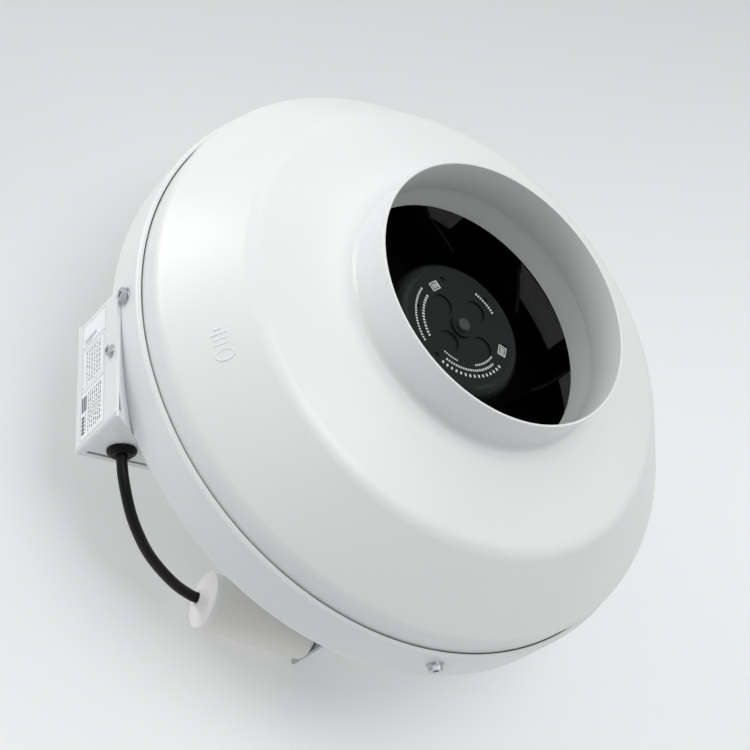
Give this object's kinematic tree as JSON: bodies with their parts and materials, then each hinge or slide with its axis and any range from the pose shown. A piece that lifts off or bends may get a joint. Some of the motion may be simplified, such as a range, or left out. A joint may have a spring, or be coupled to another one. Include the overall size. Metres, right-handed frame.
{
  "type": "inline duct fan",
  "caption": "Round in-line duct fan: two pressed shells with spigots, a centrifugal impeller on an external rotor motor, side terminal box and run capacitor.",
  "frame": {"origin": "centre of the outlet spigot's end face", "axes": "+Z along the duct axis from the outlet to the inlet, -Y towards the terminal box"},
  "size_m": [0.3536, 0.3548, 0.202],
  "materials": {
    "white_paint": "satin powder coat",
    "black_plastic": "satin",
    "rotor_black": "gloss",
    "steel": "bare",
    "polished_steel": "polished",
    "zinc": "zinc plated",
    "aluminium": "cast",
    "copper": "enamelled winding",
    "brass": "machined",
    "insulation": "natural",
    "grey_plastic": "satin",
    "cap_white": "semi-gloss",
    "black_rubber": "matte",
    "cable_sheath": "satin",
    "label_white": "printed film"
  },
  "bodies": {
    "casing": {"inlet_shell": "white_paint", "outlet_shell": "white_paint", "inlet_nozzle": "white_paint", "shell_screws": "zinc", "stator_core": "steel", "stator_windings": "copper", "stator_insulators": "insulation", "motor_flange": "aluminium", "bearing_outer_rings": "polished_steel", "preload_washer": "steel", "motor_bracket": "white_paint", "motor_screws": "zinc", "bracket_screws": "zinc", "box_cover": "white_paint", "box_base": "zinc", "base_rivets": "aluminium", "cover_screw": "zinc", "rating_label": "label_white", "cable_grommet": "black_rubber", "supply_grommet": "black_rubber", "terminal_block": "insulation", "terminal_inserts": "brass", "terminal_screws": "zinc", "terminal_block_screws": "zinc", "earth_screw": "brass", "lead_grommet": "black_rubber", "motor_lead": "grey_plastic", "capacitor_can": "cap_white", "capacitor_cap": "cap_white", "capacitor_stud": "cap_white", "capacitor_washer": "zinc", "capacitor_nut": "zinc", "capacitor_bracket": "zinc", "capacitor_bracket_screws": "zinc", "capacitor_cable": "cable_sheath"},
    "rotor": {"rotor_cup": "rotor_black", "rotor_core": "steel", "shaft": "steel", "bearing_inner_rings": "polished_steel", "shaft_circlip": "steel", "impeller_hub": "black_plastic", "impeller_blades": "black_plastic", "impeller_shroud": "black_plastic", "impeller_rivets": "zinc", "balance_clip": "steel"},
    "ball_train": {"bearing_balls": "polished_steel", "bearing_cages": "brass"}
  },
  "joints": [
    {"name": "rotor_spin", "type": "hinge", "parent": "casing", "child": "rotor", "pos_m": [0, 0, 0.121], "axis": [0, 0, 1], "continuous": true},
    {"name": "ball_orbit", "type": "hinge", "parent": "casing", "child": "ball_train", "pos_m": [0, 0, 0.121], "axis": [0, 0, 1], "continuous": true}
  ],
  "couplings": [
    {"joint": "ball_orbit", "follows": "rotor_spin", "ratio": 0.368}
  ]
}
